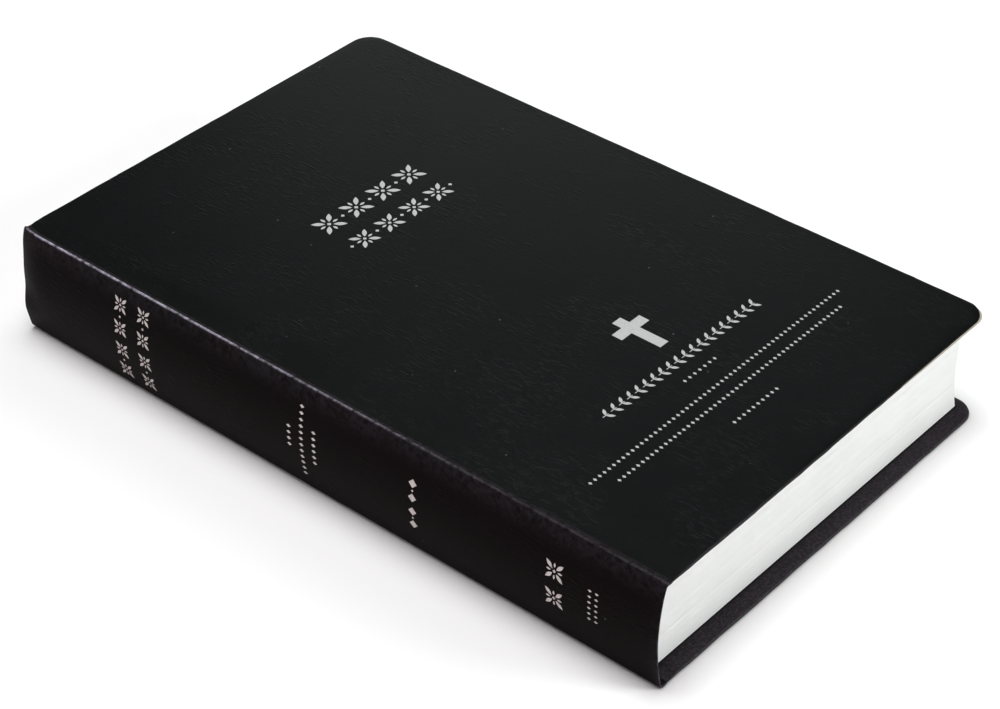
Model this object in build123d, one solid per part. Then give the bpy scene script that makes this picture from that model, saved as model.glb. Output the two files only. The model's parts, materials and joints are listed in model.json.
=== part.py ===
"""A soft-covered bible with sewn sections, lying closed on its rear cover.

All sizes are in millimetres. X runs from the spine to the fore-edge, Y from tail to head and Z up
through the front cover. Z is 0 on the outer face of the rear cover, and X and Y are 0 in the middle
of the closed book. While a piece is drawn its x is measured from the ridge, the edge between spine
and cover; seat() moves it into the book's own frame when it is written.
"""
from build123d import *
import math
import os

# The closed book.
LENGTH = 213.0  # tail to head, over the covers
WIDTH = 134.0  # ridge to fore-edge, over the covers
THICKNESS = 32.0  # outer face to outer face
SPINE_BULGE = 2.4  # how far the middle of the spine stands out beyond the ridges
CORNER_RADIUS = 5.5  # rounded fore-edge corners of the covers

# The make-up of a cover, from the outside in.
LEATHER = 0.45
BOARD = 0.36
LINING = 0.33
GLUE = 0.03  # glue line between two glued layers
TURN_IN = 9.0  # leather folded over onto the inside of a cover
BOARD_SETBACK = 1.5  # the flexible board stops this far from the hinge line
LINING_FIT = 0.1  # gap round the lining and round the board inside the leather

# The hinges.
JOINT_WIDTH = 4.0  # ridge to the hinge line of a cover
JOINT_GROOVE = 0.55  # how far the leather is pressed in between ridge and hinge line
HINGE_GAP = 0.2  # free gap along each hinge line
HINGE_CLOTH = 0.15  # cloth flap that ties the sections to a cover

# The spine, from the leather inwards.
SPINE_LINER = 0.35
SPINE_ADHESIVE = 0.15
SPINE_GAP = 0.05  # gap between two layers on the spine
MIDDLE_GAP = 0.1  # gap between the two halves of the spine

# The book block.
SECTIONS = 36
SQUARE_TAIL = 5.0  # how far the covers stand out beyond the leaves at tail and head
SQUARE_FORE = 3.8  # and at the fore-edge
FLYLEAF = 0.12
BLOCK_GAP = 0.1  # gap between a cover and the flyleaf beside it
LEAF_GAP = 0.03  # air between two sections

COVER = LEATHER + GLUE + BOARD + GLUE + LINING
HALF = THICKNESS / 2
SPINE_RADIUS = (SPINE_BULGE**2 + HALF**2) / (2 * SPINE_BULGE)
SPINE_CENTRE = SPINE_RADIUS - SPINE_BULGE
HINGE_CLOTH_DEPTH = JOINT_GROOVE + LEATHER + GLUE
PANEL_START = JOINT_WIDTH + HINGE_GAP / 2  # where a cover begins, on its side of the hinge line
LINER_DEPTH = LEATHER + SPINE_GAP
ADHESIVE_DEPTH = LINER_DEPTH + SPINE_LINER + SPINE_GAP
BLOCK_DEPTH = ADHESIVE_DEPTH + SPINE_ADHESIVE + SPINE_GAP

BLOCK_LENGTH = LENGTH - 2 * SQUARE_TAIL
BLOCK_LOW = COVER + BLOCK_GAP
BLOCK_HIGH = THICKNESS - BLOCK_LOW
SECTIONS_LOW = BLOCK_LOW + FLYLEAF + LEAF_GAP
SECTION_PITCH = (THICKNESS - 2 * SECTIONS_LOW + LEAF_GAP) / SECTIONS
SECTION = SECTION_PITCH - LEAF_GAP


def spine_x(z, depth):
    """x of the spine's surface at a height, that deep below the leather's outer face."""
    return SPINE_CENTRE - math.sqrt((SPINE_RADIUS - depth) ** 2 - (z - HALF) ** 2)


LEAF_WIDTH = WIDTH - SQUARE_FORE - spine_x(BLOCK_LOW, BLOCK_DEPTH)


def seat(piece):
    """Moves a piece from the ridge's frame to the middle of the closed book."""
    return Pos((SPINE_BULGE - WIDTH) / 2, 0, 0) * piece


def span(x_low, x_high, z_low, z_high):
    """A rectangle in the cross-section of the book."""
    return Pos((x_low + x_high) / 2, (z_low + z_high) / 2) * Rectangle(x_high - x_low, z_high - z_low)


def spine_disc(depth):
    """The round of the spine, that deep below the leather's outer face."""
    return Pos(SPINE_CENTRE, HALF) * Circle(SPINE_RADIUS - depth)


def run_along(section, length):
    """A cross-section run along the spine, half each way from the middle."""
    return extrude(Plane.XZ * section, length / 2, both=True)


def turned_over(piece):
    """The same piece on the front half of the book."""
    return Pos(0, 0, THICKNESS) * piece.mirror(Plane.XY)


def cover_plate(edge, low, high, x_start=PANEL_START):
    """A plate with the cover's outline drawn in by edge, from depth low to depth high."""
    outline = Rectangle(WIDTH - edge - x_start, LENGTH - 2 * edge)
    plate = extrude(Pos((x_start + WIDTH - edge) / 2, 0, low) * outline, high - low)
    radius = CORNER_RADIUS - edge
    if radius > 0:
        corners = plate.edges().filter_by(Axis.Z).group_by(Axis.X)[-1]
        plate = fillet(corners, radius)
    return plate


def cover_leather():
    """Leather over a cover: outer skin, wrapped edges and the turn-in on three sides."""
    open_end = PANEL_START - LEATHER
    leather = cover_plate(0, 0, COVER)
    leather -= cover_plate(LEATHER, LEATHER, COVER - LINING, open_end)
    return leather - cover_plate(TURN_IN, LEATHER, COVER + LINING, open_end)


def cover_board():
    """Thin flexible board inside a cover."""
    board_start = JOINT_WIDTH + BOARD_SETBACK
    return cover_plate(LEATHER + LINING_FIT, LEATHER + GLUE, LEATHER + GLUE + BOARD, board_start)


def cover_lining():
    """Paper pasted down inside a cover, level with the turn-in."""
    return cover_plate(TURN_IN + LINING_FIT, COVER - LINING, COVER)


def joint_strip(depth, thickness, length):
    """A layer between the spine and the hinge line of the rear cover."""
    strip = span(-SPINE_BULGE, PANEL_START - HINGE_GAP, depth, depth + thickness)
    return run_along(strip & spine_disc(LINER_DEPTH), length)


def spine_strip(depth, thickness, z_low, length):
    """A layer of the lower half of the spine."""
    ring = spine_disc(depth) - spine_disc(depth + thickness)
    return run_along(ring & span(-SPINE_BULGE, JOINT_WIDTH, z_low, HALF - MIDDLE_GAP / 2), length)


def leaves(z_low, z_high):
    """Leaves of one width whose back edges follow the round of the spine."""
    corners = [(spine_x(z, BLOCK_DEPTH), z) for z in (z_low, z_high)]
    corners += [(x + LEAF_WIDTH, z) for x, z in reversed(corners)]
    return run_along(make_face(Polyline(*corners, close=True)), BLOCK_LENGTH)


def rear_half():
    """Every piece of the rear half of the book except its sections."""
    return {
        "cover_leather": cover_leather(),
        "cover_board": cover_board(),
        "cover_lining": cover_lining(),
        "joint_leather": joint_strip(JOINT_GROOVE, LEATHER, LENGTH),
        "hinge_cloth": joint_strip(HINGE_CLOTH_DEPTH, HINGE_CLOTH, BLOCK_LENGTH),
        "spine_leather": spine_strip(0, LEATHER, 0, LENGTH),
        "spine_liner": spine_strip(LINER_DEPTH, SPINE_LINER, BLOCK_LOW, BLOCK_LENGTH),
        "spine_adhesive": spine_strip(ADHESIVE_DEPTH, SPINE_ADHESIVE, BLOCK_LOW, BLOCK_LENGTH),
        "flyleaf": leaves(BLOCK_LOW, BLOCK_LOW + FLYLEAF),
    }


def sections():
    """The sewn sections, counted from the front of the book."""
    made = {}
    for number in range(1, SECTIONS + 1):
        top = THICKNESS - SECTIONS_LOW - (number - 1) * SECTION_PITCH
        made[f"section_{number:02d}"] = leaves(top - SECTION, top)
    return made


def book():
    """Every piece by its node name."""
    rear = rear_half()
    pieces = {f"rear_{name}": piece for name, piece in rear.items()}
    pieces |= {f"front_{name}": turned_over(piece) for name, piece in rear.items()}
    return pieces | sections()


if __name__ == "__main__":
    os.makedirs("parts", exist_ok=True)
    for name, piece in book().items():
        export_step(seat(piece), f"parts/{name}.step")
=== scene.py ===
"""Looks of a soft-covered bible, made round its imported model: leather, leaves, endpapers and foil.

The book lies closed on its rear cover. X runs from spine to fore-edge, Y from tail to head, Z up.
Lengths are in metres. On a cover, s is the distance from the ridge where cover and spine meet,
and depth is measured down from the cover's outer face.
"""

import json
import math

import bmesh
import bpy
import numpy as np
from mathutils import Matrix, Vector, noise

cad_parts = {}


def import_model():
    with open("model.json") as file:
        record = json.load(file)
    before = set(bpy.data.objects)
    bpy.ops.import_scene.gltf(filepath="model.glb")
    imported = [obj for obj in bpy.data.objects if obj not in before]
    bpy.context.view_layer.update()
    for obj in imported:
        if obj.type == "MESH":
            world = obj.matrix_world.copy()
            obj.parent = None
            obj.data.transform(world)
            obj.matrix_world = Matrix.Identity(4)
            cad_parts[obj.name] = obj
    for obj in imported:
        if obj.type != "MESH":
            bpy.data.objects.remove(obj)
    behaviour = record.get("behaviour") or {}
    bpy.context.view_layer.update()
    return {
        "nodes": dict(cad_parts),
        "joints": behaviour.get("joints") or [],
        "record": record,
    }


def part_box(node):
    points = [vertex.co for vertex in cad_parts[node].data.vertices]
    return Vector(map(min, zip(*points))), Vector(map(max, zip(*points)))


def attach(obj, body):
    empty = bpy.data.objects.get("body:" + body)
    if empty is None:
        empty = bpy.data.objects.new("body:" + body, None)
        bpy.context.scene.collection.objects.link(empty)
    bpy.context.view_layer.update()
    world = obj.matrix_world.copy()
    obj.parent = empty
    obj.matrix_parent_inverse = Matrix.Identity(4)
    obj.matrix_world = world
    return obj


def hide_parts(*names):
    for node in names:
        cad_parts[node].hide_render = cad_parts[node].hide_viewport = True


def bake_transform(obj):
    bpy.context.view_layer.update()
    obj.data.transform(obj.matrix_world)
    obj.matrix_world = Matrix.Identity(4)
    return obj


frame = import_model()

MM = 0.001

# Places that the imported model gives.
PANEL_LOW, PANEL_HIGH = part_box("front_cover_leather")
LEAVES_LOW, LEAVES_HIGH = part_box("front_flyleaf")
SPINE_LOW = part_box("front_spine_leather")[0]
THICKNESS = PANEL_HIGH.z
HALF = THICKNESS / 2
FORE = PANEL_HIGH.x
HALF_LENGTH = PANEL_HIGH.y
COVER = PANEL_HIGH.z - PANEL_LOW.z
JOINTS = {joint["name"]: joint for joint in frame["joints"]}
MIDDLE_HINGE = Vector(JOINTS["middle_opening"]["pos_m"])

# The spine's round, and the thickness of the leather.
SPINE_BULGE = 2.4 * MM
RIDGE = SPINE_LOW.x + SPINE_BULGE
SPINE_RADIUS = (SPINE_BULGE**2 + HALF**2) / (2 * SPINE_BULGE)
SPINE_CENTRE = SPINE_LOW.x + SPINE_RADIUS
LEATHER = 0.45 * MM
SEAM = 2.2 * MM  # s where the cover's leather and the spine's leather meet

# Covers.
CORNER_RADIUS = 6.5 * MM
GROOVE = {"front": 0.52 * MM, "rear": 0.34 * MM}  # depth of the groove beside each ridge
GROOVE_END = 2.8 * MM
PANEL_FLAT = 9.0 * MM  # s where the cover has risen to its full height at the head
PANEL_FLAT_TAIL = 14.0 * MM  # and at the tail, where the book is handled
SHALLOW = 0.5  # share of the groove that is lost at the head edge
SHALLOW_LENGTH = 15.0 * MM
SHALLOW_START = 2.5 * MM  # how far past the seam that loss is full
BOARD_STEP = 4.2 * MM  # s where the inner face steps down over the board's edge
BOARD_STEP_WIDTH = 2.2 * MM
PANEL_SINK = 0.03 * MM  # how far the panels lie below the covers' highest leather
EDGE_FALL = 4.0 * MM  # how far in from an edge the leather's waves die out
EDGE_STRETCH = 12.0 * MM  # how far in an edge's own unevenness reaches
NIBBLE = 0.22 * MM  # how far an edge wanders in
PLEAT = 0.09 * MM  # height of a pleat in a turned-in corner
PLEATS = 28  # as many as a full turn would hold
TAIL_TRIM = 0.8 * MM  # how much shorter the front cover is at its tail corner
TAIL_TRIM_START = 30.0 * MM  # s where that begins
SEED = {"front": 1.3, "rear": 8.1, "spine": 3.7}  # of the leather's slight waves

# Ridges and spine.
BEAD = {"front": 0.5 * MM, "rear": 1.6 * MM}  # radius of each rounded ridge
BEAD_END = math.radians(22)  # where its curve stops, or sooner where it would pass the seam
BEAD_ROOM = 0.12 * MM  # between that end and the seam
RIDGE_DROP = 0.02 * MM  # how far the ridges lie below the covers' faces
ROLL = {"front": 0.3 * MM, "rear": -0.15 * MM}  # how far the spine leans in beside each ridge
ROLL_HEIGHT = 5.0 * MM
SPINE_FALL = 5.0 * MM  # how far in from its ends the spine's waves die out
HEAD_LENGTH = 8.0 * MM  # the last stretch of the spine, which is worn flatter at the head
HEAD_FLAT = 1.6 * MM  # how far its middle is pressed in there, and
HEAD_RIDGE = 0.9 * MM  # how far the front ridge is
HEAD_FULL = 7.0 * MM  # height up to which the spine keeps its round
HEAD_SOFT = 0.6 * MM  # how much rounder the rear ridge gets there
HEAD_WIDTH = 5.0 * MM  # how far across a cover the worn head reaches, from the seam
HEAD_BEND = 0.4  # share of the half height where the ridge's amount begins to take over

# Bends and endpapers.
MIDDLE_BAND = 0.6 * MM  # half height of the spine leather that bends in the middle
ENDPAPER = 0.07 * MM
ENDPAPER_PROUD = 0.02 * MM  # how far a pasted endpaper stands out of the cover's inner face
ENDPAPER_START = SEAM + 0.1 * MM  # s where a pasted endpaper begins
ENDPAPER_BENT = 8.0 * MM  # s up to which it follows the joint's curve
PAST = 0.35 * MM  # how far the pasted endpapers reach past the leaves; their black edge draws a dark line along the leaves' edges


# Wear on the covers' edges, and painted highlight and sheen on the spine, as shares of the full pale
# lavender that both reach.
EDGE_RUB = 0.05
EDGE_RUB_WIDTH = 0.8 * MM
TURN_IN_FADE = 0.2 * MM  # depth over which the turned-in side's own look comes in
CREST_HIGHLIGHT_HEIGHT = 0.34 * MM  # how far down from a ridge's crest the painted highlight reaches
CREST_HIGHLIGHT_ACROSS = 0.95 * MM  # and how far across, before it fades
CREST_HIGHLIGHT_AT_TAIL = 0.05  # share of it that is left toward the tail
CREST_HIGHLIGHT_LOW = -0.6 * HALF_LENGTH  # y where it begins to grow
CREST_HIGHLIGHT_HIGH = 0.7 * HALF_LENGTH  # y where it is full
SHOULDER_SHEEN = 0.04  # painted sheen on the spine, below the front ridge
SHOULDER_SHEEN_HEIGHT = 7.0 * MM
TAIL_HIGHLIGHT = 0.22  # painted highlight along the fold at the spine's tail
# distance over which the painted highlights fade, past the crest and in from the tail
HIGHLIGHT_FADE = 0.3 * MM


def smooth(t):
    """A soft step from 0 to 1."""
    t = min(max(t, 0.0), 1.0)
    return t * t * (3 - 2 * t)


# ---------------------------------------------------------------- materials


class Surface:
    """A material in the making: its shader, and helpers that add its nodes and join them."""

    def __init__(self, name):
        self.material = bpy.data.materials.new(name)
        self.material.use_nodes = True
        self.nodes = self.material.node_tree.nodes
        self.link = self.material.node_tree.links.new
        self.shader = self.nodes["Principled BSDF"]
        self.coords = self.add("ShaderNodeTexCoord").outputs["Object"]

    def add(self, kind, **values):
        """A node with these inputs and settings."""
        node = self.nodes.new(kind)
        for key, value in values.items():
            if key in node.inputs:
                node.inputs[key].default_value = value
            else:
                setattr(node, key.lower(), value)
        return node

    def texture(self, kind, coords=None, **values):
        """A texture at the object's own coordinates, or at others that are given."""
        node = self.add("ShaderNodeTex" + kind, **values)
        self.link(self.coords if coords is None else coords, node.inputs["Vector"])
        return node.outputs["Distance" if kind == "Voronoi" else "Fac"]

    def ramp(self, level, stops):
        """A colour ramp of grey levels or colours."""
        node = self.add("ShaderNodeValToRGB")
        while len(node.color_ramp.elements) < len(stops):
            node.color_ramp.elements.new(0.5)
        for element, (place, colour) in zip(node.color_ramp.elements, stops):
            element.position = place
            element.color = (*colour, 1) if hasattr(colour, "__len__") else (colour, colour, colour, 1)
        self.link(level, node.inputs["Fac"])
        return node.outputs["Color"]

    def combined(self, operation, first, second):
        """Two levels made one, such as by multiplying them."""
        node = self.add("ShaderNodeMath", operation=operation)
        self.link(first, node.inputs[0])
        self.link(second, node.inputs[1])
        return node.outputs["Value"]

    def covered(self, under, level, colour):
        """A colour laid over what is under it, as far as a level says."""
        node = self.add("ShaderNodeMix", data_type="RGBA")
        node.inputs["B"].default_value = (*colour, 1)
        self.link(level, node.inputs["Factor"])
        self.link(under, node.inputs["A"])
        return node.outputs["Result"]

    def bump(self, height, strength, distance, under=None):
        """Raised and sunk places, added to another bump if one is given."""
        node = self.add("ShaderNodeBump", Strength=strength, Distance=distance)
        self.link(height, node.inputs["Height"])
        if under is not None:
            self.link(under, node.inputs["Normal"])
        return node.outputs["Normal"]

    def set(self, **values):
        """Links sockets to the shader's inputs, and sets numbers on them; _ stands for a space."""
        for key, value in values.items():
            socket = self.shader.inputs[key.replace("_", " ")]
            if isinstance(value, bpy.types.NodeSocket):
                self.link(value, socket)
            else:
                socket.default_value = value
        return self.material


def leather_material(name, specular, tint):
    """Black imitation leather: fine pores, short wrinkles along the book, burnished edges, and a painted
    highlight and sheen where the spine asks for them.
    """
    made = Surface(name)

    # Short wrinkles drawn out along Y, in loose patches.
    stretch = made.add("ShaderNodeMapping", Scale=(1.0, 0.24, 1.0), Rotation=(0.0, 0.0, 0.12))
    made.link(made.coords, stretch.inputs["Vector"])
    along = stretch.outputs["Vector"]
    wrinkle = made.texture("Noise", along, Scale=1250.0, Detail=2.0, Roughness=0.55, Distortion=0.5)
    wrinkle = made.ramp(wrinkle, [(0.0, 0.0), (0.54, 0.0), (0.68, 1.0), (1.0, 1.0)])
    patches = made.texture("Noise", Scale=48.0, Detail=3.0, Roughness=0.55)
    patches = made.ramp(patches, [(0.42, 0.1), (0.68, 1.0)])
    wrinkles = made.combined("MULTIPLY", wrinkle, patches)

    # Pores and the fine pebble between them.
    pores = made.texture("Voronoi", Scale=1500.0, Randomness=1.0)
    pores = made.ramp(pores, [(0.0, 0.0), (0.2, 0.7), (0.5, 1.0)])
    pebble = made.texture("Noise", Scale=2300.0, Detail=4.0, Roughness=0.65)
    grain = made.add("ShaderNodeMath", operation="MULTIPLY_ADD")
    grain.inputs[1].default_value = 0.45
    made.link(pores, grain.inputs[0])
    made.link(pebble, grain.inputs[2])
    fine = made.bump(grain.outputs["Value"], 0.6, 0.06 * MM)
    coarse = made.bump(wrinkles, 0.9, 0.09 * MM, fine)

    # Near black, with a few pale flecks of dust.
    mottle = made.texture("Noise", Scale=28.0, Detail=4.0, Roughness=0.6)
    colour = made.ramp(mottle, [(0.3, [0.75 * c for c in tint]), (0.7, [1.2 * c for c in tint])])
    flecks = made.texture("Voronoi", Scale=95.0, Randomness=1.0)
    flecks = made.ramp(flecks, [(0.0, 1.0), (0.018, 0.7), (0.03, 0.0)])
    colour = made.covered(colour, flecks, (0.09, 0.09, 0.09))

    # Lighter and lavender where the leather is burnished on the covers' edges, and where a painted highlight
    # and sheen lie on the spine's ridges and tail fold.
    wear_and_highlight = made.add("ShaderNodeAttribute", attribute_name="wear_and_highlight").outputs["Fac"]
    wear_and_highlight_breakup = made.texture("Noise", Scale=640.0, Detail=5.0, Roughness=0.75)
    wear_and_highlight_breakup = made.ramp(wear_and_highlight_breakup, [(0.38, 0.12), (0.6, 1.0)])
    colour = made.covered(colour, made.combined("MULTIPLY", wear_and_highlight, wear_and_highlight_breakup), (0.36, 0.34, 0.41))

    # The turned-in side is paler and warmer, with fine specks.
    turned_in = made.add("ShaderNodeAttribute", attribute_name="turned_in").outputs["Fac"]
    specks = made.texture("Noise", Scale=1500.0, Detail=3.0, Roughness=0.75)
    specks = made.ramp(specks, [(0.44, 0.3), (0.56, 0.62), (0.66, 1.0)])
    colour = made.covered(colour, made.combined("MULTIPLY", turned_in, specks), (0.047, 0.037, 0.045))

    gloss = made.ramp(mottle, [(0.3, 0.395), (0.7, 0.425)])
    return made.set(Base_Color=colour, Roughness=gloss, Normal=coarse, Specular_IOR_Level=specular)


def paper_material(name, light, dark, fibre=900.0, specular=0.25):
    """Smooth paper with faint fibres and a slight tone between one place and the next."""
    made = Surface(name)
    tone = made.texture("Noise", Scale=70.0, Detail=5.0, Roughness=0.6)
    fibres = made.texture("Noise", Scale=fibre, Detail=4.0, Roughness=0.7)
    return made.set(
        Base_Color=made.ramp(tone, [(0.3, dark), (0.7, light)]),
        Roughness=0.82,
        Specular_IOR_Level=specular,
        Normal=made.bump(fibres, 0.15, 0.03 * MM),
    )


def cloth_material():
    """Open-weave bookbinder's cloth."""
    made = Surface("binding_cloth")
    threads = [
        made.texture("Wave", Scale=620.0, Distortion=0.6, Detail=1.0, bands_direction=direction)
        for direction in ("X", "Y")
    ]
    weave = made.combined("MAXIMUM", *threads)
    return made.set(
        Base_Color=made.ramp(weave, [(0.2, (0.34, 0.32, 0.27)), (0.8, (0.66, 0.63, 0.56))]),
        Roughness=0.95,
        Normal=made.bump(weave, 0.6, 0.1 * MM),
    )


def adhesive_material():
    """Cream flexible adhesive with a soft gloss and brush marks."""
    made = Surface("binding_adhesive")
    marks = made.texture("Noise", Scale=260.0, Detail=4.0, Roughness=0.6, Distortion=0.8)
    return made.set(
        Base_Color=made.ramp(marks, [(0.3, (0.62, 0.58, 0.46)), (0.7, (0.78, 0.75, 0.64))]),
        Roughness=made.ramp(marks, [(0.3, 0.3), (0.7, 0.5)]),
        Specular_IOR_Level=0.45,
        Normal=made.bump(marks, 0.4, 0.1 * MM),
    )


def foil_material(name, light, dark, metal):
    """Matt stamping foil, slightly broken by the grain under it."""
    made = Surface(name)
    speckle = made.texture("Noise", Scale=1700.0, Detail=3.0, Roughness=0.6)
    return made.set(
        Base_Color=made.ramp(speckle, [(0.32, dark), (0.5, light)]),
        Metallic=metal,
        Roughness=made.ramp(speckle, [(0.3, 0.52), (0.6, 0.36)]),
        Normal=made.bump(speckle, 0.3, 0.04 * MM),
    )


# The cover and the spine are one leather: the cover copy's cool tint and the spine copy's warmer, brighter
# tint are painted light colour, for cool light on the cover and warm light on the spine side. The spine copy
# also reflects less.
COVER_LEATHER = leather_material("cover_leather", 0.09, (0.0013, 0.0015, 0.0017))
SPINE_LEATHER = leather_material("spine_leather", 0.02, (0.0044, 0.0022, 0.0026))
LEAF_PAPER = paper_material("bible_paper", (0.87, 0.88, 0.87), (0.84, 0.85, 0.84))
END_PAPER = paper_material("end_paper", (0.012, 0.012, 0.0125), (0.008, 0.008, 0.0085), 600.0, 0.1)
GREY_BOARD = paper_material("grey_board", (0.36, 0.33, 0.28), (0.27, 0.25, 0.21), 1400.0)
KRAFT_LINER = paper_material("kraft_liner", (0.47, 0.36, 0.24), (0.38, 0.29, 0.19), 1100.0)
BINDING_CLOTH = cloth_material()
BINDING_ADHESIVE = adhesive_material()
SILVER_FOIL = foil_material("silver_foil", (0.47, 0.475, 0.475), (0.40, 0.405, 0.405), 0.25)
SPINE_FOIL = foil_material("spine_foil", (0.62, 0.55, 0.54), (0.42, 0.37, 0.36), 0.35)


# ---------------------------------------------------------------- mesh helpers


def piece(name, vertices, faces, material, shaded=True):
    """A closed mesh object from points and faces, its doubles merged and its faces turned out."""
    mesh = bpy.data.meshes.new(name)
    shell = bmesh.new()
    made = [shell.verts.new(v) for v in vertices]
    for face in faces:
        corners = [made[i] for i in dict.fromkeys(face)]
        if len(corners) > 2:
            shell.faces.new(corners)
    bmesh.ops.remove_doubles(shell, verts=shell.verts, dist=1e-7)
    bmesh.ops.dissolve_degenerate(shell, edges=shell.edges, dist=1e-8)
    bmesh.ops.recalc_face_normals(shell, faces=shell.faces)
    for face in shell.faces:
        face.smooth = shaded
    shell.to_mesh(mesh)
    shell.free()
    mesh.materials.append(material)
    obj = bpy.data.objects.new(name, mesh)
    bpy.context.scene.collection.objects.link(obj)
    return obj


def set_shares(obj, name, share_at):
    """Stores a share from 0 to 1 at each point of the leather, such as how burnished it is or how much
    painted highlight it has.
    """
    shares = obj.data.attributes.new(name, "FLOAT", "POINT")
    shares.data.foreach_set("value", [share_at(v.co) for v in obj.data.vertices])


def two_sided_grid(columns, rows, upper, lower):
    """Points and faces of a closed plate: an upper and a lower grid, joined round their rims."""
    count_u, count_v = len(columns), len(rows)
    points = [upper(u, v) for u in columns for v in rows] + [lower(u, v) for u in columns for v in rows]
    below = count_u * count_v

    def at(i, j):
        return i * count_v + j

    faces = []
    for i in range(count_u - 1):
        for j in range(count_v - 1):
            square = (at(i, j), at(i + 1, j), at(i + 1, j + 1), at(i, j + 1))
            faces += [square, tuple(below + k for k in reversed(square))]
    for i in range(count_u - 1):
        for j in (0, count_v - 1):
            faces.append((at(i, j), at(i + 1, j), below + at(i + 1, j), below + at(i, j)))
    for j in range(count_v - 1):
        for i in (0, count_u - 1):
            faces.append((at(i, j), at(i, j + 1), below + at(i, j + 1), below + at(i, j)))
    return points, faces


def spread(low, high, count):
    """Evenly spaced values from low to high."""
    return [low + (high - low) * i / (count - 1) for i in range(count)]


def end_rows(half, rim, inner_step):
    """Places from -half to half, drawn close together near both ends so that a rim can be round."""
    near = [half - rim * (1 - math.cos(a)) for a in spread(0, math.pi / 2, 6)]
    between = spread(-near[-1], near[-1], int(2 * near[-1] / inner_step) + 1)[1:-1]
    return [-v for v in near] + between + near[::-1]


# ---------------------------------------------------------------- cover leather


def wave(x, y, side, size=38 * MM, height=0.05 * MM):
    """Slight rise and fall of soft leather."""
    return height * noise.noise(Vector((x / size, y / size, SEED[side])))


def groove_depth(s, y, side):
    """Depth of the cover's outer face: pressed in beside the ridge, then rising to the panel."""
    toward_tail = smooth(0.5 - 0.5 * y / HALF_LENGTH)
    flat = PANEL_FLAT + (PANEL_FLAT_TAIL - PANEL_FLAT) * toward_tail
    rise = 1 - smooth((s - GROOVE_END) / (flat - GROOVE_END))
    at_head = smooth((y - HALF_LENGTH + SHALLOW_LENGTH) / SHALLOW_LENGTH)
    past_seam = smooth((s - SEAM) / SHALLOW_START)
    return GROOVE[side] * rise * (1 - SHALLOW * at_head * past_seam)


def under_depth(s, side):
    """Depth of the cover's inner face."""
    joint = LEATHER + GROOVE[side]
    return joint + (COVER - joint) * smooth((s - BOARD_STEP) / BOARD_STEP_WIDTH)


def inside_outline(x, y):
    """Distance from a point to the cover's outline with its rounded fore-edge corners."""
    dx = FORE - CORNER_RADIUS - x
    dy = HALF_LENGTH - CORNER_RADIUS - abs(y)
    if dx < 0 and dy < 0:
        return CORNER_RADIUS - math.hypot(dx, dy)
    return min(FORE - x, HALF_LENGTH - abs(y))


def outer_depth(x, y, side):
    """Depth of the cover's outer face, with its groove and waves."""
    inward = smooth(inside_outline(x, y) / EDGE_FALL)
    return groove_depth(x - RIDGE, y, side) + (wave(x, y, side) + PANEL_SINK) * inward


def corner_pleat(x, y):
    """Small pleats where the turn-in is gathered round a corner."""
    dx = x - (FORE - CORNER_RADIUS)
    dy = abs(y) - (HALF_LENGTH - CORNER_RADIUS)
    if dx <= 0 or dy <= 0:
        return 0.0
    angle = math.atan2(dy, dx)
    reach = smooth(math.hypot(dx, dy) / CORNER_RADIUS)
    fade = math.sin(2 * angle)
    return PLEAT * reach * fade * (0.5 + 0.5 * math.cos(angle * PLEATS))


def head_share(y):
    """From 0 to 1 over the worn stretch at the head."""
    return max(0.0, (y - HALF_LENGTH + HEAD_LENGTH) / HEAD_LENGTH) ** 2


def head_curl(y, height):
    """How far the worn head of the spine is pressed in, at a height above the middle."""
    pressed = HEAD_FLAT * smooth((HALF + height - HEAD_FULL) / (HALF - HEAD_FULL))
    toward_ridge = smooth((height / HALF - HEAD_BEND) / (1 - HEAD_BEND))
    return head_share(y) * (pressed + (HEAD_RIDGE - HEAD_FLAT) * toward_ridge)


def nibble(along, seed, size=9 * MM):
    """How far an edge wanders in from its true line."""
    return NIBBLE * abs(noise.noise(Vector((along / size, seed, 0.5))))


def tail_trim(s):
    """How much shorter the front cover is cut at the tail, away from the spine."""
    return TAIL_TRIM * smooth((s - TAIL_TRIM_START) / (FORE - RIDGE - TAIL_TRIM_START))


def cover_columns():
    """Places along X for the cover's grid, close together in the groove, corner and rim."""
    rim = COVER / 2
    groove = [RIDGE + s for s in spread(SEAM, PANEL_FLAT, 22)]
    panel = spread(RIDGE + PANEL_FLAT, FORE - CORNER_RADIUS, 46)[1:]
    corner = [FORE - CORNER_RADIUS + (CORNER_RADIUS - rim) * t for t in spread(0, 1, 12)][1:]
    edge = [FORE - rim + rim * math.sin(a) for a in spread(0, math.pi / 2, 7)][1:]
    return groove + panel + corner + edge


def near_end(distance):
    """From 0 well inside a cover to 1 at its edge, for a distance that is negative inside."""
    return smooth((distance + EDGE_STRETCH) / EDGE_STRETCH)


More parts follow.
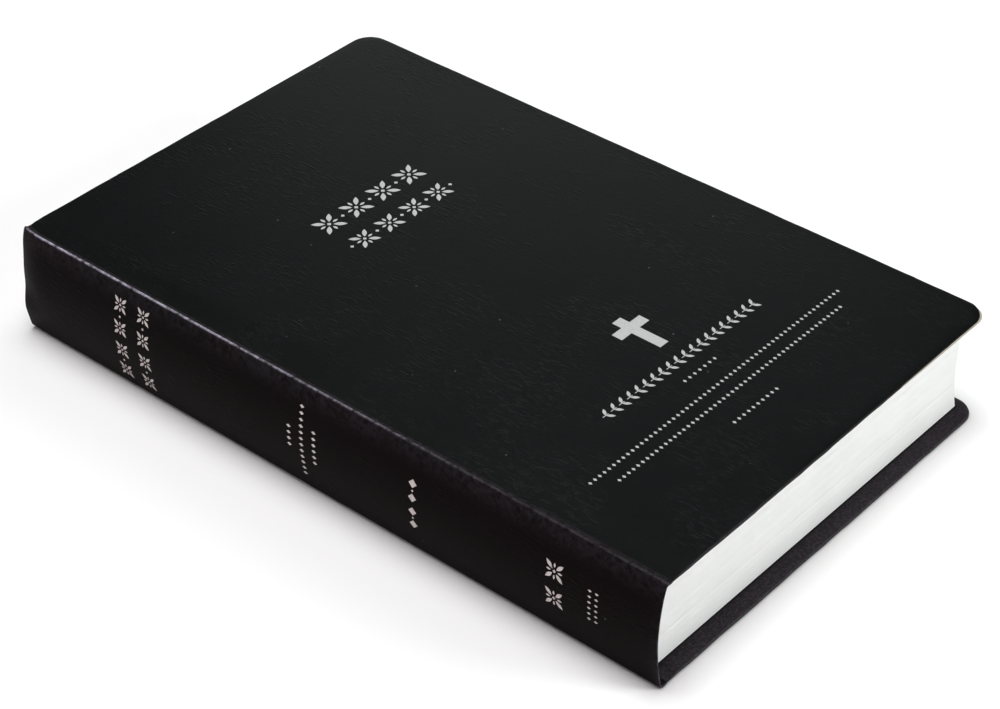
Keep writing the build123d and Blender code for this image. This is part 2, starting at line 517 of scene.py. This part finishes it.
def cover_shell(side):
    """The leather over one cover and its joint, with full round edges and the turn-in inside."""
    front = side == "front"
    rim = COVER / 2

    def half_length(x):
        past = max(x - (FORE - CORNER_RADIUS), 0.0)
        return HALF_LENGTH - CORNER_RADIUS + math.sqrt(max(CORNER_RADIUS**2 - past**2, 0.0))

    def rounded(x, y, outer, inner):
        d = max(inside_outline(x, y), 0.0)
        radius = (inner - outer) / 2
        if d >= radius:
            return outer, inner
        lift = math.sqrt(max(radius**2 - (radius - d) ** 2, 0.0))
        middle = (inner + outer) / 2
        return middle - lift, middle + lift

    def place(x, v, inner_face):
        y = v * half_length(x) / HALF_LENGTH
        s = x - RIDGE
        pleat = corner_pleat(x, y) * smooth(inside_outline(x, y) / rim)
        depth = rounded(x, y, outer_depth(x, y, side), under_depth(s, side) - pleat)[inner_face]
        uneven = nibble(x, SEED[side] + math.copysign(2, y)) * near_end(abs(y) - HALF_LENGTH)
        shift_y = -math.copysign(uneven, y)
        shift_x = -nibble(y, SEED[side] + 5) * near_end(x - FORE)
        shift_x += head_curl(y, HALF if front else -HALF) * (1 - smooth((s - SEAM) / HEAD_WIDTH))
        if front:
            shift_y += tail_trim(s) * near_end(-y - HALF_LENGTH)
        return (x + shift_x, y + shift_y, THICKNESS - depth if front else depth)

    points, faces = two_sided_grid(
        cover_columns(),
        end_rows(HALF_LENGTH, rim, 3.2 * MM),
        lambda x, v: place(x, v, False),
        lambda x, v: place(x, v, True),
    )
    shell = piece(f"{side}_leather", points, faces, COVER_LEATHER)

    def wear_and_highlight_at(p):
        """A little on the edges."""
        return EDGE_RUB * (1 - smooth(inside_outline(p.x, p.y) / EDGE_RUB_WIDTH))

    def turned_in_at(p):
        """All over the inner face."""
        depth = THICKNESS - p.z if front else p.z
        return smooth((depth - COVER / 2) / TURN_IN_FADE)

    set_shares(shell, "wear_and_highlight", wear_and_highlight_at)
    set_shares(shell, "turned_in", turned_in_at)
    return shell


def spine_x(z, inward=0.0):
    """x of the spine's surface at a height, that far in from the leather's outer face."""
    return SPINE_CENTRE - math.sqrt((SPINE_RADIUS - inward) ** 2 - (z - HALF) ** 2)


def rolled_x(h, side, inward=0.0):
    """x of the spine at a height from the middle toward one ridge, with its lean beside the ridge."""
    t = max(0.0, (h - HALF + ROLL_HEIGHT) / ROLL_HEIGHT)
    return spine_x(HALF + h, inward) + ROLL[side] * t * t


def spine_wave(h, y):
    """The spine's own waves, which die out toward its ends and its ridges."""
    inward = smooth((HALF_LENGTH - abs(y)) / SPINE_FALL)
    return wave(h, y, "spine", 24 * MM, 0.04 * MM) * inward * (1 - smooth(abs(h) / HALF))


def half_outer(side, y):
    """Outer face from near the middle to the seam in one groove, as (x, height from the middle)."""
    bead = BEAD[side] + (HEAD_SOFT * head_share(y) if side == "rear" else 0.0)
    bead_height = HALF - RIDGE_DROP - bead
    slope = (HALF - bead) / SPINE_RADIUS + 2 * ROLL[side] / ROLL_HEIGHT
    start = math.pi - math.atan(slope)
    first = bead_height + bead * math.sin(start)
    bead_x = rolled_x(first, side) - bead * math.cos(start)
    curve = [(rolled_x(h, side), h) for h in spread(MIDDLE_BAND, first, 30)]
    room = min(1.0, max((RIDGE + SEAM - BEAD_ROOM - bead_x) / bead, 0.0))
    for a in spread(start, max(BEAD_END, math.acos(room)), 16)[1:]:
        curve.append((bead_x + bead * math.cos(a), bead_height + bead * math.sin(a)))

    # One point eases the curve into the groove's floor.
    floor_height = HALF - GROOVE[side]
    last_x, last_h = curve[-1]
    curve.append((last_x + (RIDGE + SEAM - last_x) * 0.35, last_h * 0.3 + floor_height * 0.7))
    curve.append((RIDGE + SEAM, floor_height))
    return curve


def half_inner(side):
    """Inner face from near the middle to the seam in one groove."""
    top = HALF - GROOVE[side] - LEATHER
    curve = [(rolled_x(h, side, LEATHER), h) for h in spread(MIDDLE_BAND, top - 0.3 * MM, 22)]
    return curve + [(curve[-1][0] + 0.5 * MM, top - 0.04 * MM), (RIDGE + SEAM, top)]


def whole(front, rear, inward):
    """A face of the spine from the rear seam to the front seam."""
    middle = [(spine_x(HALF + h, inward), h) for h in spread(-MIDDLE_BAND, MIDDLE_BAND, 17)][1:-1]
    return [(x, -h) for x, h in reversed(rear)] + middle + front


def lengths(line):
    """Distance along a line at each of its points."""
    along = [0.0]
    for a, b in zip(line, line[1:]):
        along.append(along[-1] + math.dist(a, b))
    return along


def spine_shell():
    """The leather over the spine, in one piece from the rear groove to the front groove."""
    inner_line = whole(half_inner("front"), half_inner("rear"), LEATHER)
    inner_along = lengths(inner_line)
    rows = end_rows(HALF_LENGTH, LEATHER / 2, 2.5 * MM)
    radius = LEATHER / 2
    points = []
    for y in rows:
        outer = whole(half_outer("front", y), half_outer("rear", y), 0.0)
        along = lengths(outer)
        share = [t / along[-1] * inner_along[-1] for t in along]
        inner = list(zip(*(np.interp(share, inner_along, [q[k] for q in inner_line]) for k in (0, 1))))
        short = max(radius - (HALF_LENGTH - abs(y)), 0.0)  # how far into the rounded end this row is
        pinch = math.sqrt(max(radius**2 - short**2, 0.0)) / radius
        for line in (outer, inner):
            for (ox, oh), (ix, ih), (x, h) in zip(outer, inner, line):
                mx, mh = (ox + ix) / 2, (oh + ih) / 2
                soft = spine_wave(oh, y) if line is outer else 0.0
                shifted = mx + (x - mx) * pinch + soft + head_curl(y, mh)
                points.append((shifted, y, HALF + mh + (h - mh) * pinch))
    n = len(outer)
    faces = []
    for j in range(len(rows) - 1):
        a, b = j * 2 * n, (j + 1) * 2 * n
        for i in range(n - 1):
            faces.append((a + i, a + i + 1, b + i + 1, b + i))
            faces.append((a + n + i, b + n + i, b + n + i + 1, a + n + i + 1))
        for i in (0, n - 1):
            faces.append((a + i, b + i, b + n + i, a + n + i))
    for j in (0, len(rows) - 1):
        a = j * 2 * n
        for i in range(n - 1):
            faces.append((a + i, a + i + 1, a + n + i + 1, a + n + i))
    shell = piece("spine_leather", points, faces, SPINE_LEATHER)

    def wear_and_highlight_at(p):
        """Painted highlight along the crest of the ridges, most toward the head, painted sheen on the spine
        below the front ridge, and painted highlight along the tail's fold.
        """
        below = HALF - RIDGE_DROP - abs(p.z - HALF)
        crest = 1 - smooth(below / CREST_HIGHLIGHT_HEIGHT)
        crest *= 1 - smooth((p.x - RIDGE - CREST_HIGHLIGHT_ACROSS) / HIGHLIGHT_FADE)
        toward_head = smooth((p.y - CREST_HIGHLIGHT_LOW) / (CREST_HIGHLIGHT_HIGH - CREST_HIGHLIGHT_LOW))
        crest *= CREST_HIGHLIGHT_AT_TAIL + (1 - CREST_HIGHLIGHT_AT_TAIL) * toward_head
        shoulder = SHOULDER_SHEEN * (1 - smooth(below / SHOULDER_SHEEN_HEIGHT)) if p.z > HALF else 0.0
        tail = TAIL_HIGHLIGHT * (1 - smooth((HALF_LENGTH + p.y) / HIGHLIGHT_FADE)) * smooth(1.2 - p.z / THICKNESS)
        return min(1.0, crest + shoulder + tail)

    set_shares(shell, "wear_and_highlight", wear_and_highlight_at)
    return shell


front_leather = cover_shell("front")
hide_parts("front_cover_leather", "front_joint_leather")
rear_leather = cover_shell("rear")
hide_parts("rear_cover_leather", "rear_joint_leather")
spine_leather = spine_shell()
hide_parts("front_spine_leather", "rear_spine_leather")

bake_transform(front_leather)
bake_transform(rear_leather)
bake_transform(spine_leather)


# ---------------------------------------------------------------- endpapers and gutter


def pastedown(side):
    """The half of an endpaper that is pasted down inside a cover and over its joint."""
    start, bent, end = RIDGE + ENDPAPER_START, RIDGE + ENDPAPER_BENT, LEAVES_HIGH.x + PAST
    columns = spread(start, bent, 26) + spread(bent, end, 30)[1:]
    rows = spread(LEAVES_LOW.y - PAST, LEAVES_HIGH.y + PAST, 60)

    def place(x, y, lift):
        depth = under_depth(x - RIDGE, side) + ENDPAPER_PROUD - lift
        return (x, y, THICKNESS - depth if side == "front" else depth)

    points, faces = two_sided_grid(
        columns, rows, lambda x, y: place(x, y, ENDPAPER), lambda x, y: place(x, y, 0)
    )
    sheet = piece(f"{side}_pastedown", points, faces, END_PAPER)
    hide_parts(f"{side}_cover_lining")
    return sheet


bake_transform(pastedown("front"))
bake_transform(pastedown("rear"))


def gutter_fold():
    """The fold of the middle section, hidden in the spine while the book is closed."""
    section_low, section_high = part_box("section_18")
    apex = 0.74 * MM  # distances from the middle hinge
    reach = section_low.x - MIDDLE_HINGE.x + 0.3 * MM
    nose = 0.02 * MM  # how far the round of the fold stands out
    gap = 0.03 * MM  # half the height of the folded sheet
    paper = 0.014 * MM
    legs = spread(reach, apex, 8)
    line = [(r, -gap) for r in legs]
    line += [(apex - nose * math.sin(a), -gap * math.cos(a)) for a in spread(0, math.pi, 15)[1:-1]]
    line += [(r, gap) for r in reversed(legs)]
    inside = [(r + (paper if abs(h) < 0.9 * gap else 0), h * (1 - paper / gap)) for r, h in line]
    rows = spread(-section_high.y, section_high.y, 30)

    def place(i, y, profile):
        r, h = profile[i]
        return (MIDDLE_HINGE.x + r, y, HALF + h)

    points, faces = two_sided_grid(
        range(len(line)), rows, lambda i, y: place(i, y, line), lambda i, y: place(i, y, inside)
    )
    fold = piece("gutter_fold", points, faces, LEAF_PAPER)
    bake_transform(fold)


gutter_fold()


# ---------------------------------------------------------------- leaves


def node_group(name, sockets):
    """An empty geometry node tree with named inputs."""
    tree = bpy.data.node_groups.new(name, "GeometryNodeTree")
    for socket_name, kind, value in sockets:
        socket = tree.interface.new_socket(socket_name, in_out="INPUT", socket_type=kind)
        if value is not None:
            socket.default_value = value
    tree.interface.new_socket("Geometry", in_out="OUTPUT", socket_type="NodeSocketGeometry")
    return tree


def math_node(tree, operation, first, second=None, kind="ShaderNodeMath"):
    """A math node on sockets or numbers, or a vector math node."""
    node = tree.nodes.new(kind)
    node.operation = operation
    for index, value in enumerate((first, second)):
        if value is None:
            continue
        if isinstance(value, bpy.types.NodeSocket):
            tree.links.new(value, node.inputs[index])
        else:
            node.inputs[index].default_value = value
    return node.outputs[0]


def vector(tree, **axes):
    """A vector from sockets, nought on an axis that isn't given."""
    node = tree.nodes.new("ShaderNodeCombineXYZ")
    for axis, value in axes.items():
        tree.links.new(value, node.inputs[axis])
    return node.outputs["Vector"]


def lay_out(tree, points, shape, material):
    """The end of a tree: its shape on every point, made real and given its material."""
    nodes, link = tree.nodes, tree.links.new
    copies = nodes.new("GeometryNodeInstanceOnPoints")
    link(points, copies.inputs["Points"])
    link(shape, copies.inputs["Instance"])
    real = nodes.new("GeometryNodeRealizeInstances")
    link(copies.outputs["Instances"], real.inputs["Geometry"])
    paint = nodes.new("GeometryNodeSetMaterial")
    link(real.outputs["Geometry"], paint.inputs["Geometry"])
    link(material, paint.inputs["Material"])
    link(paint.outputs["Geometry"], nodes.new("NodeGroupOutput").inputs["Geometry"])
    return tree


def leaf_stack_tree():
    """Leaves stacked in sections, each leaf's back edge on the round of the spine."""
    tree = node_group(
        "leaf_stack",
        [
            ("Sections", "NodeSocketInt", 1),
            ("Leaves", "NodeSocketInt", 16),
            ("Low", "NodeSocketFloat", 0.0),
            ("Section Pitch", "NodeSocketFloat", 0.0008),
            ("Leaf Pitch", "NodeSocketFloat", 0.00005),
            ("Leaf", "NodeSocketFloat", 0.00005),
            ("Width", "NodeSocketFloat", 0.13),
            ("Length", "NodeSocketFloat", 0.2),
            ("Centre", "NodeSocketFloat", 0.0),
            ("Radius", "NodeSocketFloat", 0.05),
            ("Middle", "NodeSocketFloat", 0.016),
            ("Uneven", "NodeSocketFloat", 0.00005),
            ("Seed", "NodeSocketInt", 1),
            ("Paper", "NodeSocketMaterial", None),
        ],
    )
    nodes, link = tree.nodes, tree.links.new
    given = nodes.new("NodeGroupInput").outputs
    line = nodes.new("GeometryNodeMeshLine")
    link(math_node(tree, "MULTIPLY", given["Sections"], given["Leaves"]), line.inputs["Count"])

    # Which section a leaf is in, how high it lies, and where the spine's round puts its back edge.
    index = nodes.new("GeometryNodeInputIndex").outputs["Index"]
    counted = math_node(tree, "DIVIDE", math_node(tree, "ADD", index, 0.5), given["Leaves"])
    section = math_node(tree, "FLOOR", counted)
    leaf = math_node(tree, "SUBTRACT", index, math_node(tree, "MULTIPLY", section, given["Leaves"]))
    z = math_node(tree, "ADD", given["Low"], math_node(tree, "MULTIPLY", section, given["Section Pitch"]))
    z = math_node(tree, "ADD", z, math_node(tree, "MULTIPLY", leaf, given["Leaf Pitch"]))
    z = math_node(tree, "ADD", z, math_node(tree, "MULTIPLY", given["Leaf"], 0.5))
    rise = math_node(tree, "SUBTRACT", z, given["Middle"])
    radius_squared = math_node(tree, "MULTIPLY", given["Radius"], given["Radius"])
    chord = math_node(tree, "SUBTRACT", radius_squared, math_node(tree, "MULTIPLY", rise, rise))
    back = math_node(tree, "SUBTRACT", given["Centre"], math_node(tree, "SQRT", chord))
    x = math_node(tree, "ADD", back, math_node(tree, "MULTIPLY", given["Width"], 0.5))

    # A little out of line with the next: toward the fore-edge, and either way along the book.
    jitter = nodes.new("FunctionNodeRandomValue")
    jitter.data_type = "FLOAT_VECTOR"
    link(given["Seed"], jitter.inputs["Seed"])
    away = math_node(tree, "SUBTRACT", jitter.outputs[0], (0.0, 0.5, 0.0), "ShaderNodeVectorMath")
    reach = vector(tree, X=given["Uneven"], Y=given["Uneven"])
    away = math_node(tree, "MULTIPLY", away, reach, "ShaderNodeVectorMath")
    placed = math_node(tree, "ADD", vector(tree, X=x, Z=z), away, "ShaderNodeVectorMath")
    move = nodes.new("GeometryNodeSetPosition")
    link(line.outputs["Mesh"], move.inputs["Geometry"])
    link(placed, move.inputs["Position"])

    sheet = nodes.new("GeometryNodeMeshCube")
    link(vector(tree, X=given["Width"], Y=given["Length"], Z=given["Leaf"]), sheet.inputs["Size"])
    return lay_out(tree, move.outputs["Geometry"], sheet.outputs["Mesh"], given["Paper"])


def grown(name, tree, values, start=None):
    """A plain mesh object from a geometry node tree with these inputs, grown on a start mesh."""
    carrier = bpy.data.objects.new(name + "_carrier", start or bpy.data.meshes.new(name + "_start"))
    bpy.context.scene.collection.objects.link(carrier)
    modifier = carrier.modifiers.new("grow", "NODES")
    modifier.node_group = tree
    sockets = {s.name: s.identifier for s in tree.interface.items_tree if s.in_out == "INPUT"}
    for key, value in values.items():
        modifier[sockets[key]] = value
    bpy.context.view_layer.update()
    graph = bpy.context.evaluated_depsgraph_get()
    mesh = bpy.data.meshes.new_from_object(carrier.evaluated_get(graph))
    mesh.name = name
    bpy.data.objects.remove(carrier)
    obj = bpy.data.objects.new(name, mesh)
    bpy.context.scene.collection.objects.link(obj)
    return obj


LEAF_STACK = leaf_stack_tree()
LEAVES_IN_SECTION = 16
LEAF_SHARE = 0.93  # of the height that each leaf has, the rest being air
TRIM_IN = 0.1 * MM  # how much smaller a leaf is than its section, so that none stands out
TRIM_UNEVEN = 0.09 * MM  # how far a leaf may lie out of line with the next
FIRST_SEED = 11
BODIES = frame["record"]["behaviour"]["bodies"]


def sections_of(body):
    """The names of the sections that belong to a body."""
    return sorted(n for n in BODIES[body] if n.startswith("section_"))


def leaf_stack(body, seed):
    """The leaves of every section that belongs to a body."""
    sections = sections_of(body)
    boxes = [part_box(n) for n in sections]
    low = min(b[0].z for b in boxes)
    high = max(b[1].z for b in boxes)
    height = boxes[0][1].z - boxes[0][0].z
    pitch = (high - low - height) / max(len(sections) - 1, 1)
    leaf_pitch = height / LEAVES_IN_SECTION
    first_low, first_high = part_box("section_18")
    stack = grown(
        f"{body}_paper",
        LEAF_STACK,
        {
            "Sections": len(sections),
            "Leaves": LEAVES_IN_SECTION,
            "Low": low,
            "Section Pitch": pitch,
            "Leaf Pitch": leaf_pitch,
            "Leaf": leaf_pitch * LEAF_SHARE,
            "Width": first_high.x - first_low.x - TRIM_IN,
            "Length": first_high.y - first_low.y - TRIM_IN,
            "Centre": SPINE_CENTRE,
            "Radius": SPINE_CENTRE - first_low.x,
            "Middle": HALF,
            "Uneven": TRIM_UNEVEN,
            "Seed": seed,
            "Paper": LEAF_PAPER,
        },
    )
    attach(stack, body)
    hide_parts(*sections)


for seed, body in enumerate(sorted(filter(sections_of, BODIES)), FIRST_SEED):
    leaf_stack(body, seed)


# ---------------------------------------------------------------- carried-over pieces

CARRIED = {
    "cover_board": (GREY_BOARD, "board"),
    "flyleaf": (END_PAPER, "endpaper"),
    "hinge_cloth": (BINDING_CLOTH, "cloth"),
    "spine_liner": (KRAFT_LINER, "liner"),
    "spine_adhesive": (BINDING_ADHESIVE, "adhesive"),
}
for ending, (material, slot) in CARRIED.items():
    for side in ("front", "rear"):
        node = frame["nodes"][f"{side}_{ending}"]
        node.data.materials.clear()
        node.data.materials.append(material)


# ---------------------------------------------------------------- foil


def lozenge(half_width, half_height):
    """Outline of a lozenge."""
    return [(-half_width, 0), (0, -half_height), (half_width, 0), (0, half_height)]


def bar(half_width, half_height):
    """Outline of a bar."""
    w, h = half_width, half_height
    return [(-w, -h), (w, -h), (w, h), (-w, h)]


def petal(start, end, half_width, angle):
    """Outline of a pointed leaf that lies between two distances from a centre."""
    upper = [(start + (end - start) * t, half_width * math.sin(math.pi * t)) for t in spread(0, 1, 8)]
    outline = upper + [(a, -b) for a, b in reversed(upper[1:-1])]
    c, n = math.cos(angle), math.sin(angle)
    return [(a * c - b * n, a * n + b * c) for a, b in outline][::-1]


def rosette(radius):
    """Four long leaves and four short ones round a lozenge."""
    shapes = [lozenge(radius * 0.15, radius * 0.15)]
    for k in range(4):
        shapes.append(petal(0.24 * radius, radius * 1.08, 0.16 * radius, math.radians(45 + 90 * k)))
        shapes.append(petal(0.3 * radius, radius * 0.72, 0.085 * radius, math.radians(90 * k)))
    return shapes


def sprig(length, half_width):
    """A pair of slanted leaves, one above and one below a stem."""
    up, down = math.radians(52), math.radians(-52)
    stem = bar(0.42 * length, 0.09 * half_width + 0.06 * MM)
    return [petal(0, length, half_width, up), petal(0, length, half_width, down), stem]


def moved(outline, u, v):
    """An outline moved to a place."""
    return [(a + u, b + v) for a, b in outline]


def turned(outline):
    """An outline turned a quarter, so that a row of it reads up the spine."""
    return [(-b, a) for a, b in outline]


def stamp_row_tree():
    """A stamp repeated along a straight line."""
    tree = node_group(
        "stamp_row",
        [
            ("Stamp", "NodeSocketGeometry", None),
            ("Count", "NodeSocketInt", 1),
            ("Start", "NodeSocketVector", (0.0, 0.0, 0.0)),
            ("Step", "NodeSocketVector", (0.01, 0.0, 0.0)),
            ("Foil", "NodeSocketMaterial", None),
        ],
    )
    given = tree.nodes.new("NodeGroupInput").outputs
    line = tree.nodes.new("GeometryNodeMeshLine")
    for ours, theirs in (("Count", "Count"), ("Start", "Start Location"), ("Step", "Offset")):
        tree.links.new(given[ours], line.inputs[theirs])
    return lay_out(tree, line.outputs["Mesh"], given["Stamp"], given["Foil"])


STAMP_ROW = stamp_row_tree()


def row_of(stamp, count, pitch, u, v, upright=False):
    """The outlines of a stamp repeated in a row centred on a place, along u, or along v if upright."""
    mesh = bpy.data.meshes.new("stamp")
    corners, faces = [], []
    for outline in stamp:
        faces.append(range(len(corners), len(corners) + len(outline)))
        corners += [(a, b, 0) for a, b in (turned(outline) if upright else outline)]
    mesh.from_pydata(corners, [], faces)
    half = (count - 1) / 2 * pitch
    start, step = ((u, v - half, 0), (0, pitch, 0)) if upright else ((u - half, v, 0), (pitch, 0, 0))
    row = grown("row", STAMP_ROW, {"Count": count, "Start": start, "Step": step, "Foil": SILVER_FOIL}, mesh)
    outlines = [[tuple(row.data.vertices[i].co[:2]) for i in p.vertices] for p in row.data.polygons]
    bpy.data.objects.remove(row)
    return outlines


def foil_piece(name, shapes, to_surface, material, longest=1.4 * MM):
    """Flat shapes cut small, laid on a surface and given the thickness of stamped foil."""
    flat = bmesh.new()
    for outline in shapes:
        flat.faces.new([flat.verts.new((u, v, 0)) for u, v in outline])
    bmesh.ops.remove_doubles(flat, verts=flat.verts, dist=1e-6)
    for _ in range(7):
        long_edges = [e for e in flat.edges if e.calc_length() > longest]
        if not long_edges:
            break
        bmesh.ops.subdivide_edges(flat, edges=long_edges, cuts=1, use_grid_fill=True)
    bmesh.ops.triangulate(flat, faces=[f for f in flat.faces if len(f.verts) > 4])
    points = [(v.co.x, v.co.y) for v in flat.verts]
    flat.verts.index_update()
    faces = [tuple(v.index for v in f.verts) for f in flat.faces]
    rims = [tuple(v.index for v in e.verts) for e in flat.edges if len(e.link_faces) == 1]
    flat.free()
    proud, sunk = 0.03 * MM, -0.07 * MM  # above the leather, and pressed into it
    count = len(points)
    solid = [to_surface(u, v, proud) for u, v in points] + [to_surface(u, v, sunk) for u, v in points]
    walls = [(a, b, count + b, count + a) for a, b in rims]
    under = [tuple(count + i for i in reversed(face)) for face in faces]
    return piece(name, solid, faces + under + walls, material, shaded=False)


def on_front(u, v, lift):
    """A place on the front cover: u from the ridge, v from the tail edge."""
    x, y = RIDGE + u, v - HALF_LENGTH
    return (x, y, THICKNESS - outer_depth(x, y, "front") + lift)


def on_spine(u, v, lift):
    """A place on the spine: u from the tail edge, v up from the rear face."""
    y, h = u - HALF_LENGTH, v - HALF
    return (rolled_x(abs(h), "front" if h > 0 else "rear") + spine_wave(h, y) - lift, y, v)


def latin_cross(u, foot, height, half_span, half_bar, arm):
    """A plain Latin cross with its foot at a place; arm is the height of its crossing."""
    top, low_arm, high_arm = foot + height, foot + arm - half_bar, foot + arm + half_bar
    side = (half_span - half_bar) / 2
    return [
        moved(bar(half_bar, (low_arm - foot) / 2), u, (low_arm + foot) / 2),
        moved(bar(half_bar, half_bar), u, foot + arm),
        moved(bar(half_bar, (top - high_arm) / 2), u, (top + high_arm) / 2),
        moved(bar(side, half_bar), u - half_bar - side, foot + arm),
        moved(bar(side, half_bar), u + half_bar + side, foot + arm),
    ]


def dot(half_width, half_height=None):
    """A stamp that is one lozenge, as high as it is wide unless a height is given."""
    return [lozenge(half_width, half_height or half_width)]


CENTRE_LINE = 69.5 * MM  # middle of the front's foil, from the ridge


def front_foil():
    """Foil on the front: two bands of rosettes, a cross, a sprigged line and beaded rules."""
    bead = dot(0.42 * MM, 0.62 * MM)
    shapes = row_of(rosette(4.5 * MM), 4, 10.4 * MM, CENTRE_LINE, 153.0 * MM)
    shapes += row_of(dot(0.6 * MM), 3, 10.4 * MM, CENTRE_LINE, 153.0 * MM)
    shapes += row_of(rosette(4.0 * MM), 4, 9.6 * MM, CENTRE_LINE, 141.4 * MM)
    shapes += row_of(dot(0.6 * MM), 5, 9.6 * MM, CENTRE_LINE, 141.4 * MM)
    shapes += latin_cross(
        CENTRE_LINE, foot=54.2 * MM, height=15.2 * MM, half_span=5.5 * MM, half_bar=1.62 * MM, arm=10.6 * MM
    )
    shapes += row_of(sprig(2.5 * MM, 0.46 * MM), 20, 3.1 * MM, CENTRE_LINE - 2 * MM, 47.6 * MM)
    shapes += row_of(bead, 7, 2.0 * MM, CENTRE_LINE - 2.5 * MM, 41.4 * MM)
    shapes += row_of(bead, 58, 1.75 * MM, CENTRE_LINE - 3.5 * MM, 34.6 * MM)
    shapes += row_of(bead, 52, 1.75 * MM, CENTRE_LINE - 3.5 * MM, 30.2 * MM)
    shapes += row_of(bead, 10, 1.9 * MM, CENTRE_LINE - 5.0 * MM, 22.8 * MM)
    return foil_piece("front_foil", shapes, on_front, SILVER_FOIL)


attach(front_foil(), "front_cover")


def spine_foil():
    """Foil on the spine: two bands of rosettes, beaded lines, a row of lozenges and two rosettes."""
    shapes = []
    for u in (174.2, 165.8):
        shapes += row_of(rosette(2.75 * MM), 4, 6.9 * MM, u * MM, HALF, True)
        shapes += row_of(dot(0.4 * MM), 2, 13.8 * MM, u * MM, HALF, True)
    for u, count in ((114.2, 4), (110.0, 12), (105.8, 6)):
        shapes += row_of(dot(0.5 * MM, 0.75 * MM), count, 1.9 * MM, u * MM, HALF, True)
    shapes += row_of(dot(1.25 * MM), 4, 4.2 * MM, 73.5 * MM, HALF, True)
    shapes += row_of(dot(0.35 * MM), 2, 8.4 * MM, 73.5 * MM, HALF, True)
    shapes += row_of(rosette(3.3 * MM), 2, 8.2 * MM, 30.0 * MM, HALF, True)
    for u in (19.6, 17.6):
        shapes += row_of(dot(0.35 * MM, 0.55 * MM), 6, 1.7 * MM, u * MM, HALF, True)
    return shapes


for half, above in (("lower", False), ("upper", True)):
    shapes = [o for o in spine_foil() if (sum(b for _, b in o) / len(o) > HALF) == above]
    foil = foil_piece(f"{half}_spine_foil", shapes, on_spine, SPINE_FOIL, 1.0 * MM)
    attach(foil, f"{half}_block")


# ---------------------------------------------------------------- stage, lights and camera


def floor():
    """A wide pale floor."""
    pale = Surface("pale_floor").set(Base_Color=(0.86, 0.86, 0.86, 1), Roughness=0.9, Specular_IOR_Level=0.1)
    mesh = bpy.data.meshes.new("floor")
    reach = 4.0
    mesh.from_pydata([(u, v, 0) for u, v in bar(reach, reach)], [], [(0, 1, 2, 3)])
    mesh.materials.append(pale)
    obj = bpy.data.objects.new("floor", mesh)
    bpy.context.scene.collection.objects.link(obj)


def soft_light(name, place, size, power, colour=(1, 1, 1)):
    """A soft light aimed at the book, so wide and so high."""
    data = bpy.data.lights.new(name, "AREA")
    data.shape = "RECTANGLE"
    data.size, data.size_y = size
    data.energy = power
    data.color = colour
    obj = bpy.data.objects.new(name, data)
    obj.location = place
    obj.rotation_euler = (Vector((0, 0, HALF)) - Vector(place)).to_track_quat("-Z", "Y").to_euler()
    bpy.context.scene.collection.objects.link(obj)


def world():
    """Dim even surroundings, so that the leather stays black."""
    made = bpy.data.worlds.new("studio")
    made.use_nodes = True
    background = made.node_tree.nodes["Background"]
    background.inputs["Color"].default_value = (1, 1, 1, 1)
    background.inputs["Strength"].default_value = 0.12
    bpy.context.scene.world = made


def camera():
    """The camera, above the tail end of the spine."""
    azimuth, elevation, roll = (math.radians(a) for a in (-49.602, 37.173, 0.102))
    target = Vector((2.2, -0.5, 14.0)) * MM
    shift_x, shift_y, distance = 0.10 * MM, 7.85 * MM, 684.06 * MM
    level = math.cos(elevation)
    back = Vector((math.sin(azimuth) * level, -math.cos(azimuth) * level, math.sin(elevation)))
    side = Vector((0, 0, 1)).cross(back).normalized()
    up = back.cross(side)
    right = side * math.cos(roll) + up * math.sin(roll)
    up = up * math.cos(roll) - side * math.sin(roll)
    data = bpy.data.cameras.new("camera")
    data.sensor_width = 36.0
    data.lens = 94.58
    data.clip_start = 0.02
    data.clip_end = 20.0
    obj = bpy.data.objects.new("camera", data)
    obj.rotation_mode = "QUATERNION"
    obj.rotation_quaternion = Matrix((right, up, back)).transposed().to_quaternion()
    obj.location = target - right * shift_x - up * shift_y + back * distance
    bpy.context.scene.collection.objects.link(obj)
    bpy.context.scene.camera = obj


floor()
world()
soft_light("overhead", (-0.05, 0.1, 1.1), (0.7, 0.7), 12.5)
soft_light("behind_fore_edge", (0.38, 0.26, 0.19), (0.36, 0.1), 0.24, (0.88, 1.0, 0.97))
soft_light("tail_side", (0.35, -0.75, 0.4), (0.35, 0.35), 5.0)
soft_light("spine_side", (-0.7, -0.1, 0.6), (0.5, 0.5), 0.8, (1.0, 0.78, 0.84))
camera()
bpy.context.scene.view_settings.view_transform = "Standard"


def corners(box):
    """A box's two corners as plain lists."""
    return [[round(v, 6) for v in corner] for corner in box]
